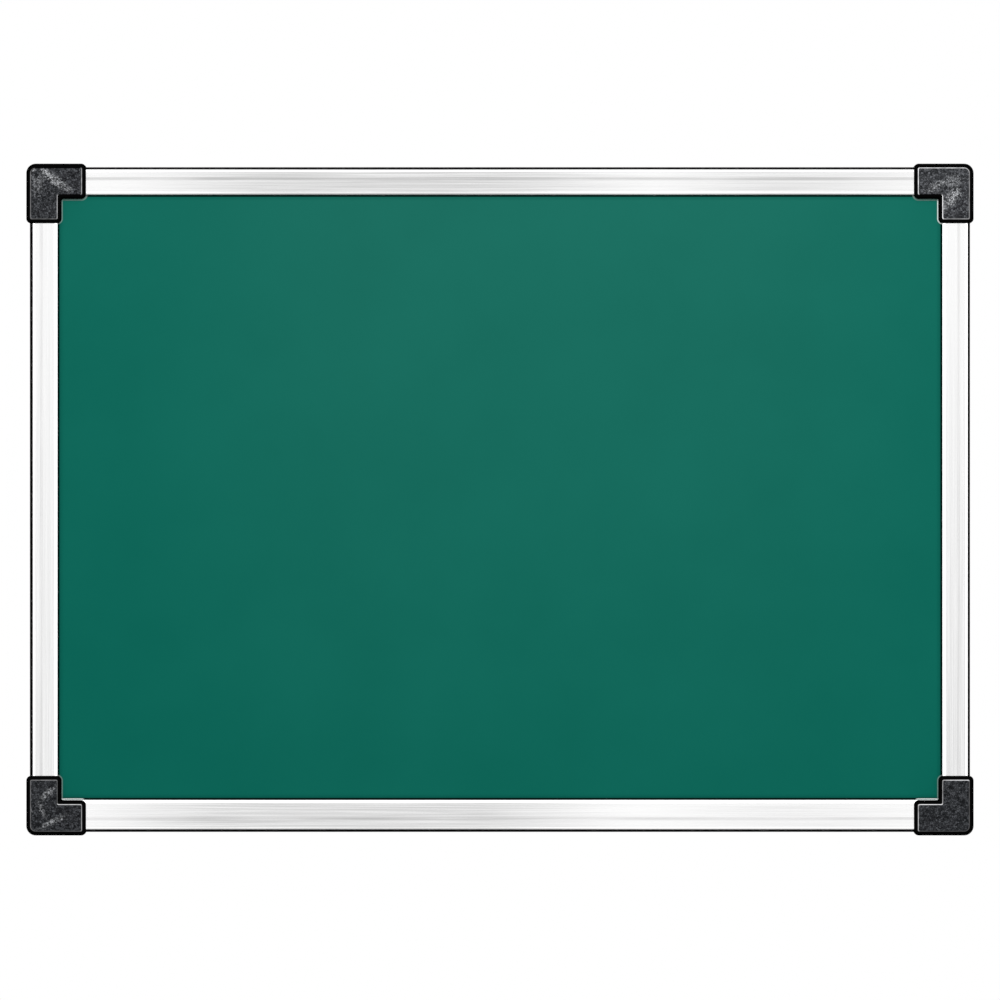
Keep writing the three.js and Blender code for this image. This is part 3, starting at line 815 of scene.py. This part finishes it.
def cap_rows():
    """Inset and height of each row from the face to the back, and its grain and rim. The rounded front
    edge is a quarter circle."""
    quarter = arc((CAP_FILLET, cap_depth - CAP_FILLET), CAP_FILLET, 95, 180, 16)
    rim_in = CAP_FILLET + EDGE_MARGIN
    face_in = rim_in + RIM_WIDTH
    face_height = cap_depth - FACE_SINK
    front = [(face_in + FACE_BORDER, face_height, 1, 0), (face_in + STEP, face_height, 1, 0)]
    front += [(face_in, cap_depth, 0, 1), (rim_in, cap_depth, 0, 1)]
    front += [(rim_in - STEP, cap_depth, 0, 0), (CAP_FILLET, cap_depth, 0, 0)]
    rounded = [(inset, height, 0, 0) for inset, height in quarter]
    return np.array(front + rounded + [(0, BACK_CHAMFER, 0, 0), (BACK_CHAMFER, 0, 0, 0)])


def cap_shell(name, rim_highlight):
    """The closed shell in the cap's own axes, the third of which points back to the wall. The rim's
    painted highlight is as bright as each edge's number says."""
    rows = cap_rows()
    flat = cap_outline(rows[:, 0])
    shell = loft(name, stack(flat, -rows[:, 1], 2))
    values = {"grain": np.ones(flat.shape[1]), "rim": along_edges(rim_highlight)}
    for column, (key, value) in enumerate(values.items()):
        layer = shell.data.attributes.new(key, "FLOAT", "POINT")
        layer.data.foreach_set("value", (rows[:, 2 + column, None] * value).ravel())
    return shell


print(f"cap {1000 * cap_depth:.1f} mm deep, {len(cap_rows())} rows")

# %% [markdown]
# ## What a cap is hollowed by
# Inside, a cap has a pocket for each of its two rails and for the panel's corner, two hollows that
# save plastic behind its corner, with a rib between them, and two tenons that run into the rails. A
# screw through the back holds each rail on its tenon. Plain prisms and turned shapes make the cutters.

# %% Pockets
CAP_FIT, TENON_FIT = 0.15 * MM, 0.2 * MM
FRONT_WALL, POCKET_RIB, CORNER_WEB = 2.05 * MM, 1.6 * MM, 1.4 * MM
panel_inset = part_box("writing_sheet")[0].x - frame_low.x
panel_back, panel_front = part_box("back_sheet")[1].y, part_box("writing_sheet")[0].y
rail_end = max(spans["rail_bottom"].z, spans["rail_top"].z) + CORNER_WEB


def prism(name, outline, low, high):
    """A flat outline carried from one depth to another, both measured back from the wall plane."""
    return loft(name, stack([np.asarray(outline, float)] * 2, (low, high), 2))


def block(name, low, high):
    outline = [(low[0], low[1]), (high[0], low[1]), (high[0], high[1]), (low[0], high[1])]
    return prism(name, outline, low[2], high[2])


def swapped(points, arm):
    """Points as given for the first arm, along and then across it, or with both changed over."""
    points = np.array(points, float)
    points[..., :2] = points[..., [arm, 1 - arm]]
    return points


def rail_pocket(arm, face):
    near = swapped((rail_end - CAP_FIT, -CAP_FIT), arm)
    far = swapped((CAP_ARM_LENGTH + CAP_STAND, face + CAP_FIT), arm)
    return block("rail_pocket", (*near, rail_front - CAP_FIT), (*far, rail_back + CAP_FIT))


def panel_pocket():
    near, far = panel_inset - CAP_FIT, CAP_ARM_LENGTH + CAP_STAND
    return block("panel_pocket", (near, near, panel_front - CAP_FIT), (far, far, panel_back + CAP_FIT))


def corner_pocket(arm):
    """A hollow open to the wall, beside the rib across the cap's corner."""
    start, low, high = CAP_CORNER - CAP_STAND, FRONT_WALL - CAP_STAND, panel_inset - POCKET_RIB
    step = POCKET_RIB / math.sqrt(2)
    outline = swapped([(start, low), (high, low), (high, high - step), (start, start - step)], arm)
    return prism("corner_pocket", outline, FRONT_WALL - cap_depth, FRONT_WALL)


# %% Tenons and screw spaces
TENON_END, TENON_CHAMFER = 38 * MM, 0.8 * MM
SCREW_SINK, SCREW_LENGTH = 0.25 * MM, 12.05 * MM
SCREW_HEAD, SCREW_RIM, SCREW_THREAD = 2.8 * MM, 0.3 * MM, 1.45 * MM
SCREW_SPACE_POINTS = 48


def tenon(arm):
    """The chamber's outline, carried along the arm, and drawn in by the fit and again at the tip."""
    along = panel_inset, TENON_END - TENON_CHAMFER, TENON_END
    drawn_in = TENON_FIT, TENON_FIT, TENON_FIT + TENON_CHAMFER
    sections = [chamber_outline(inset) * (1, -1) + (0, rail_back) for inset in drawn_in]
    return loft("tenon", swapped(stack(sections, along, 0), arm))


def screw_space(arm):
    """Countersink and pilot hole, turned round the screw's axis from [radius, depth] pairs."""
    rim, end = (SCREW_SINK + length + CAP_FIT for length in (SCREW_RIM, SCREW_LENGTH))
    head, bore = SCREW_HEAD + CAP_FIT, SCREW_THREAD + CAP_FIT
    profile = ((head, -SCREW_SINK), (head, rim), (bore, rim + head - bore), (bore, end))
    middle = swapped((SCREW_PLACE, SCREW_ACROSS), arm)
    outlines = [circle(middle, radius, SCREW_SPACE_POINTS) for radius, _ in profile]
    return loft("screw_space", stack(outlines, [-depth for _, depth in profile], 2))


print(f"rails stop {1000 * rail_end:.1f} mm, the panel {1000 * panel_inset:.1f} mm from the corner")

# %% [markdown]
# ## Four caps
# Each cap is worked out in its own axes and then moved to its corner. Its arms run along the two
# rails there, and the third axis points to the wall, so the order of the arms differs from corner to
# corner and the bottom caps take the wider bottom rail. Six numbers say how bright the painted
# highlight on the rim of each cap is: on its outer edge beside the second arm, its outer edge beside
# the first, the first arm's end, the two inner edges, and the second arm's end.

# %% Build the caps
BACK = (0, 1, 0)
# The directions of a cap's two arms, their rails, and how bright the painted highlight on its rim is.
CORNERS = {
    "top_left": (RIGHT, DOWN, "rail_top", "rail_left", (0.2, 0, 0.45, 0, 0.5, 0.15)),
    "top_right": (DOWN, LEFT, "rail_right", "rail_top", (0.75, 0.3, 0.3, 1, 0, 1)),
    "bottom_right": (LEFT, UP, "rail_bottom", "rail_right", (0.12, 0.08, 0.6, 1, 0.4, 0.9)),
    "bottom_left": (UP, RIGHT, "rail_left", "rail_bottom", (0.12, 0.2, 0.3, 0.15, 0.8, 0.4)),
}


def to_corner(piece, first, second):
    """Moves a mesh from a cap's own axes to its corner of the frame: the corner plus each coordinate
    times its axis."""
    axes = np.array((first, second, BACK), float)
    corner = -(axes[0] + axes[1]) * np.array((frame_high.x, 0, frame_top))
    points = rows_of(piece.data, "vertices", "co", 3) @ axes + corner
    piece.data.vertices.foreach_set("co", points.ravel())
    piece.data.update()


for name, (first, second, *rails, rim_highlight) in CORNERS.items():
    cap = cap_shell(f"corner_cap_{name}_moulding", rim_highlight)
    widths = [min(spans[rail].x, spans[rail].z) for rail in rails]
    pockets = [rail_pocket(arm, width) for arm, width in enumerate(widths)]
    pockets += [panel_pocket(), corner_pocket(0), corner_pocket(1)]
    steps = [("DIFFERENCE", pocket) for pocket in pockets]
    steps += [("UNION", tenon(arm)) for arm in (0, 1)]
    steps += [("DIFFERENCE", screw_space(arm)) for arm in (0, 1)]
    carve(cap, steps)
    to_corner(cap, first, second)
    dress(cap, "board", "cap", plastic, f"corner_cap_{name}")
    print(cap.name, len(cap.data.polygons), "faces")

# %% [markdown]
# ## Metal of the small parts
# Screws and straps are zinc plated, the rings are bright plated wire and the rivets are plain
# aluminium. One recipe with other numbers serves all four: a cloudy tint, and fine scratches that
# change the roughness and lift the surface a little.

# %% Small metal
def plated(name, dull, bright, roughness, scratches=(1, 1, 1)):
    """Metal whose tint drifts between two colours and whose roughness follows fine scratches."""
    material, shader = new_material(name)
    drift = noise(stretched(shader), 260, 3, 0.6)
    marks = noise(stretched(shader, scratches), 900, 3, 0.6)
    put(shader, {
        "Base Color": mix(remap(drift, 0.35, 0.65), dull, bright), "Metallic": 1,
        "Roughness": remap(marks, 0.3, 0.7, *roughness), "Normal": bump(marks, 0.15, 0.03 * MM),
    })
    return material


ACROSS_STRAP = (4, 4, 0.3)
screw_zinc = plated("zinc_plated_screw", srgb(196, 200, 206), srgb(226, 229, 232), (0.2, 0.34))
strap_tints = srgb(150, 155, 163), srgb(188, 192, 198)
strap_zinc = plated("zinc_plated_strap", *strap_tints, (0.26, 0.42), ACROSS_STRAP)
ring_plate = plated("bright_plated_wire", srgb(206, 208, 211), srgb(232, 233, 235), (0.12, 0.22))
rivet_alloy = plated("rivet_aluminium", srgb(202, 203, 206), srgb(226, 227, 229), (0.3, 0.45))

# %% [markdown]
# ## Screws
# A countersunk screw is a turned shape: its radius is a function of the angle and of the depth. On
# the head and the tip only the depth counts, and on the shank a ridge winds round, because the phase
# of the thread moves on by one pitch per turn. A Screw modifier could wind a thread too, but this one
# also fades at both ends. The cross recess is cut with a tapered cross.

# %% Turned pieces
def turned_piece(name, radius, depth, middle, columns):
    """Turned solid along Y: point (row, column) is at radius[row, column] from the axis, at the column's
    angle, and at depth[row] in front of the middle. A point on the axis closes each end."""
    angle = np.linspace(0, 2 * math.pi, columns, endpoint=False)
    radius = np.broadcast_to(radius, (len(depth), columns))
    y = np.broadcast_to(-np.asarray(depth)[:, None], radius.shape)
    points = np.stack((radius * np.cos(angle), y, radius * np.sin(angle)), axis=-1).reshape(-1, 3)
    poles = [(0, -depth[0], 0), (0, -depth[-1], 0)]
    first = np.arange(columns)
    last = first + (len(depth) - 1) * columns
    count = len(points)
    fans = np.vstack((
        np.column_stack((np.full(columns, count), np.roll(first, -1), first)),
        np.column_stack((np.full(columns, count + 1), last, np.roll(last, -1))),
    ))
    faces = grid_quads(len(depth), columns) + fans.tolist()
    return mesh_object(name, np.vstack((points, poles)) + np.array(middle), faces)


# %% Screw shape
SCREW_CORE, THREAD_PITCH, TIP_LENGTH = 1.1 * MM, 1.6 * MM, 2 * MM
TIP_RADIUS, TIP_FULLNESS = 0.05 * MM, 0.7
HEAD_DEPTHS, HEAD_DRAWN_IN = (0, 0, 0.04, 0.15, SCREW_RIM / MM), (0.9, 0.2, 0.06, 0, 0)
RIDGE_SHARE = 0.6
SCREW_COLUMNS, ROWS_PER_PITCH = 40, 14


def screw_surface():
    """Radius and depth of the screw. The ridge's height follows how near the phase, which is the depth
    in pitches less the angle in turns, is to a half, and it grows from the neck and fades to the tip."""
    neck = SCREW_RIM + SCREW_HEAD - SCREW_CORE
    head_depth = np.array(HEAD_DEPTHS) * MM
    head_radius = SCREW_HEAD - np.array(HEAD_DRAWN_IN) * MM
    shank = np.arange(neck, SCREW_LENGTH, THREAD_PITCH / ROWS_PER_PITCH)
    depth = np.concatenate((head_depth, shank, [SCREW_LENGTH]))
    taper = np.clip((SCREW_LENGTH - shank) / TIP_LENGTH, 0, 1) ** TIP_FULLNESS
    turns = np.linspace(0, 1, SCREW_COLUMNS, endpoint=False)
    phase = (shank[:, None] / THREAD_PITCH - turns) % 1
    ridge = np.clip(1 - np.abs(2 * phase - 1) / RIDGE_SHARE, 0, 1)
    start = np.clip((shank - neck) / (THREAD_PITCH / 2), 0, 1)
    wound = (SCREW_CORE + (SCREW_THREAD - SCREW_CORE) * ridge * start[:, None]) * taper[:, None]
    head = np.broadcast_to(head_radius[:, None], (len(head_depth), SCREW_COLUMNS))
    tip = np.full((1, SCREW_COLUMNS), TIP_RADIUS)
    return np.vstack((head, wound, tip)), depth


# %% Recess
RECESS_LENGTH, RECESS_WIDTH, RECESS_DEPTH = 3 * MM, 0.8 * MM, 1 * MM
RECESS_TAPER, RECESS_ABOVE = 0.45, 0.2


def recess_cutter(turn):
    """A cross of twelve corners, carried into the head and drawn in on the way."""
    a, b = RECESS_LENGTH / 2, RECESS_WIDTH / 2
    arm = np.array(((a, -b), (a, b), (b, b)))
    turns = [(math.cos(turn + k * math.pi / 2), math.sin(turn + k * math.pi / 2)) for k in range(4)]
    cross = np.vstack([arm @ np.array(((c, s), (-s, c))) for c, s in turns])
    stations = ((1 + RECESS_TAPER * RECESS_ABOVE, -RECESS_ABOVE), (1 - RECESS_TAPER, 1))
    depths = [-share * RECESS_DEPTH for _, share in stations]
    return stack([cross * size for size, _ in stations], depths, 1)


# %% Build the screws
SCREW_TURN = 0.7
screw_radius, screw_depth = screw_surface()

for order, (x, z) in enumerate(screw_places()):
    middle = np.array((x, -SCREW_SINK, z))
    name = f"corner_screw_{order + 1}"
    screw = turned_piece(f"{name}_thread", screw_radius, screw_depth, middle, SCREW_COLUMNS)
    cutter = loft("recess", recess_cutter(order * SCREW_TURN) + middle)
    carve(screw, [("DIFFERENCE", cutter)])
    dress(screw, "board", "screw", screw_zinc, name)

print("screw rows", len(screw_depth), "faces", len(screw.data.polygons))

# %% [markdown]
# ## Hangers
# A D-ring is bent wire: a straight bar, two bends, and a bow that hangs down. Its strap is a strip of
# sheet that is rolled round the bar and riveted to the side rail. A curve with a round bevel could make
# the wire, but a circle carried along the ring's path also rounds its two cut ends, which meet inside
# the roll.

# %% Ring shape
WIRE, BAR_HALF, BEND, RING_SIDE = 0.8 * MM, 4.6 * MM, 1.8 * MM, 2 * MM
JOINT_HALF = 0.15 * MM
JOINT_STEPS, END_DRAWN_IN = (0, 0.06, 0.18, 1.5), (0.2, 0.06)
RIVET_DROP = 16 * MM
bar_x, bar_z = rivet_x, rivet_z + RIVET_DROP
bar_y = sum(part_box("hanger_ring_right"), Vector()).y / 2


def ring_path():
    """Points of the wire's middle line, across and up from the bar's middle, with close points at both
    cut ends for their rounding."""
    bow = BAR_HALF + BEND
    bow_height = -BEND - RING_SIDE
    ends = JOINT_HALF + np.array(JOINT_STEPS) * MM
    start = np.column_stack((ends, np.zeros(len(ends))))
    first_bend = arc((BAR_HALF, -BEND), BEND, 90, 0, 10)
    half_bow = arc((0, bow_height), bow, 0, -90, 24)
    half = np.vstack((start, first_bend, half_bow))
    return np.vstack((half, (half * (-1, 1))[-2::-1]))


def wire(path, radius, columns=20):
    """Rings of a tube round a path in the XZ plane: each point is the path plus the radius times the
    cosine along the path's normal and the sine along Y."""
    along = np.gradient(path, axis=0)
    along /= np.linalg.norm(along, axis=1, keepdims=True)
    normal = np.column_stack((-along[:, 1], along[:, 0]))
    angle = np.linspace(0, 2 * math.pi, columns, endpoint=False)
    flat = path[:, None] + radius[:, None, None] * np.cos(angle)[:, None] * normal[:, None]
    y = radius[:, None] * np.sin(angle)
    return np.stack((flat[..., 0], y, flat[..., 1]), axis=-1)


# %% Build the rings
SIDES = (("left", -1), ("right", 1))
path = ring_path()
radius = np.full(len(path), WIRE)
radius[[0, 1]] -= np.array(END_DRAWN_IN) * MM
radius[[-1, -2]] = radius[[0, 1]]
tube = wire(path, radius)

for side, direction in SIDES:
    ring = loft(f"hanger_ring_{side}_wire", tube + (direction * bar_x, bar_y, bar_z))
    dress(ring, f"{side}_ring", "ring", ring_plate, f"hanger_ring_{side}")
print("ring", len(path), "points along the wire")

# %% [markdown]
# The strap starts as its middle surface, which has no thickness. The roll and the straight part are a
# grid of the distance along the strip and the distance across it. Round the rivet's hole the grid is
# polar: it runs from the hole to the strip's edge, which is a half circle below and a square above.
# Solidify then makes the sheet equally thick all over, and Bevel takes the sharpness off its edges.

# %% Strap shape
STRAP_THICK, STRAP_WIDTH = 0.6 * MM, 8 * MM
KNUCKLE_MIDDLE = 1.2 * MM
ROLL_DEGREES = 290
ROLL_STEPS, LEAF_ROWS = 47, 8
POLAR_ROWS, POLAR_COLUMNS = (0, 0.35, 0.7, 1), 48
SQUARE_TOP = slice(18, 5, -1)


def strap_surface():
    """Middle surface of a strap, with x across, y back to the wall and z up from the ring's bar. The
    strip's columns meet those of the polar grid that end on the square's top side."""
    half = STRAP_WIDTH / 2
    angle = np.radians(np.arange(POLAR_COLUMNS) * 360 / POLAR_COLUMNS)
    cosine, sine = np.cos(angle), np.sin(angle)
    reach = np.where(sine > 0, half / np.maximum(np.abs(cosine), np.abs(sine)), half)
    distance = RIVET_HOLE + (reach - RIVET_HOLE) * np.array(POLAR_ROWS)[:, None]
    behind = np.full(distance.shape, -KNUCKLE_MIDDLE)
    polar = np.stack((distance * cosine, behind, distance * sine - RIVET_DROP), -1)
    across = (reach * cosine)[SQUARE_TOP]
    roll = arc((0, 0), KNUCKLE_MIDDLE, 180 - ROLL_DEGREES, 180, ROLL_STEPS)
    leaf = np.linspace((0, 0), (0, half - RIVET_DROP), LEAF_ROWS)
    y, z = chain(roll, leaf).T[..., None]
    strip = np.stack(np.broadcast_arrays(across, y, z), -1)
    rows, columns = strip.shape[:2]
    strip_quads = grid_quads(rows, columns, closed=False)
    polar_quads = np.array(grid_quads(*polar.shape[:2])) + rows * columns
    points = np.vstack((strip.reshape(-1, 3), polar.reshape(-1, 3)))
    return points, np.vstack((strip_quads, polar_quads))


# %% Rivet shape
def rivet_surface():
    """Radius and depth of a blind rivet, from the hole in its domed head to the bulb behind the wall.
    The head is the cap of a sphere, and the bulb swells by half a wave of a sine."""
    head, height, hole, shank, grip = 3.2, 0.9, 0.8, 1.6, 2.1
    swelling, bulb_half, lip = 0.8, 1.5, 0.06
    sphere = (head**2 + height**2) / (2 * height)
    dome_radius = np.linspace(hole + lip, head, 10)
    dome = sphere - height - np.sqrt(sphere**2 - dome_radius**2)
    bulb = np.linspace(0, math.pi, 9)
    neck = (head - 0.12, shank, shank)
    radius = np.concatenate(((hole, hole), dome_radius, neck, shank + swelling * np.sin(bulb)))
    behind = grip + bulb_half * (1 - np.cos(bulb))
    depth = np.concatenate(((-0.2, dome[0] + lip), dome, (0, 0, grip - 0.05), behind))
    return radius[:, None] * MM, depth * MM


# %% Build the straps and rivets
EDGE_BREAK, EDGE_ANGLE = 0.08 * MM, 50
RIVET_SEAT = 0.8 * MM
points, quads = strap_surface()
radius, depth = rivet_surface()

for side, direction in SIDES:
    place = (direction * bar_x, bar_y, bar_z)
    strap = mesh_object(f"hanger_strap_{side}_sheet", points + place, quads)
    weld = strap.modifiers.new("weld", "WELD")
    weld.merge_threshold = 0.001 * MM
    solid = strap.modifiers.new("thickness", "SOLIDIFY")
    solid.thickness, solid.offset = STRAP_THICK, 0
    soft = strap.modifiers.new("edges", "BEVEL")
    soft.width, soft.segments, soft.limit_method = EDGE_BREAK, 2, "ANGLE"
    soft.angle_limit = math.radians(EDGE_ANGLE)
    apply_modifiers(strap)
    dress(strap, "board", "hanger", strap_zinc, f"hanger_strap_{side}")
    middle = (direction * rivet_x, bar_y - RIVET_SEAT, rivet_z)
    rivet = turned_piece(f"hanger_rivet_{side}_head", radius, depth, middle, 40)
    dress(rivet, "board", "rivet", rivet_alloy, f"hanger_rivet_{side}")
print("strap faces", len(strap.data.polygons), "rivet faces", len(rivet.data.polygons))

# %% [markdown]
# ## Surround, floor and lamp
# The board hangs, so the pale floor lies well below it and out of the picture. The camera sees a
# white surround. Metal shows what stands round it, so for reflections the surround is white in front,
# with a brighter ring round the camera, and white fading downwards behind. It is dark in a belt round
# the board's own plane, and at the far left. These are a studio's black flags, which draw the dark
# outlines along rounded edges. Diffuse surfaces get a plain even light, and a soft lamp above the
# front makes the top of the board a little lighter than its bottom.

# %% Surround
EVEN_LIGHT, FRONT, BELT, RING, FLAG = 0.5, 1.0, 0.01, 0.9, 0.1
RING_INSIDE, RING_OUTSIDE = (-0.97, -0.9), (-0.75, -0.6)
BELT_FROM, BELT_TO = (-0.62, -0.42), (0.4, 0.6)
FLAG_EDGE = -0.88, -0.72
BELOW_FRONT, BELOW_BEHIND = (-0.8, -0.25, 0.12, 1), (-0.7, 0.4, 0.3, 1)


def surround_in_mirror(beside):
    """Brightness of the surround in a reflection, from how far the ray points to the right, to the wall
    and up."""
    direction = add("ShaderNodeTexCoord", {}, "Generated", beside)
    to_right, to_wall, up = (coordinate(direction, axis) for axis in "XYZ")
    ring = times(fade(to_wall, *RING_INSIDE, 0, RING), fade(to_wall, *RING_OUTSIDE, 1, 0))
    in_front = plus(fade(to_wall, *BELT_FROM, FRONT, BELT), ring)
    in_front = times(in_front, fade(up, *BELOW_FRONT))
    behind = fade(to_wall, *BELT_TO, 0, remap(up, *BELOW_BEHIND))
    return times(fade(to_right, *FLAG_EDGE, FLAG, 1), plus(in_front, behind))


world = bpy.data.worlds.new("studio")
bpy.context.scene.world = world
world.use_nodes = True
world.cycles.sampling_method = "NONE"
background = world.node_tree.nodes["Background"]
glossy, camera_ray, transmission = (
    add("ShaderNodeLightPath", {}, f"Is {ray} Ray", background)
    for ray in ("Glossy", "Camera", "Transmission")
)
lit = remap(glossy, 0, 1, EVEN_LIGHT, surround_in_mirror(background))
strength = remap(larger(camera_ray, transmission), 0, 1, lit, 1)
put(background, {"Strength": strength, "Color": grey(1)})

# %% Floor
FLOOR_HEIGHT, FLOOR_RADIUS, FLOOR_POINTS = -0.62, 2.5, 48
FADE_FROM, FADE_TO = 0.4 * FLOOR_RADIUS, 0.95 * FLOOR_RADIUS

pale, shader = new_material("pale_floor")
place = stretched(shader)
tint = mix(noise(place, 3, 3), grey(0.86), grey(0.9))
put(shader, {"Base Color": tint, "Roughness": 0.8, "Specular IOR Level": 0.1})
distance = calculate_vector("LENGTH", place, output="Value")
far_out = fade(distance, FADE_FROM, FADE_TO)
underneath = add("ShaderNodeNewGeometry", {}, "Backfacing", shader)
clear = add("ShaderNodeBsdfTransparent", {}, "BSDF", shader)
inputs = {0: larger(far_out, underneath), 1: shader.outputs["BSDF"], 2: clear}
surface = add("ShaderNodeMixShader", inputs, "Shader")
put(shader.id_data.nodes["Material Output"], {"Surface": surface})

edge = circle((0, 0), FLOOR_RADIUS, FLOOR_POINTS)
floor = add_object("floor", bpy.data.meshes.new("floor"))
outline = np.insert(edge, 2, FLOOR_HEIGHT, axis=1).tolist()
floor.data.from_pydata(outline, [], [list(range(len(edge)))])
coat(floor, pale)
floor.visible_glossy = False

# %% Lamp
LAMP_PLACE = Vector((0.14, -1.1, 0.7))
LAMP_SIZE, LAMP_POWER = 0.6, 11
lamp_data = bpy.data.lights.new("softbox", "AREA")
lamp_data.shape = "SQUARE"
lamp_data.size = LAMP_SIZE
lamp_data.energy = LAMP_POWER
lamp = add_object("softbox", lamp_data)
lamp.location = LAMP_PLACE
lamp.rotation_euler = (-LAMP_PLACE).to_track_quat("-Z", "Y").to_euler()
lamp.visible_camera = False
lamp.visible_glossy = False
bpy.context.scene.view_settings.view_transform = "Standard"
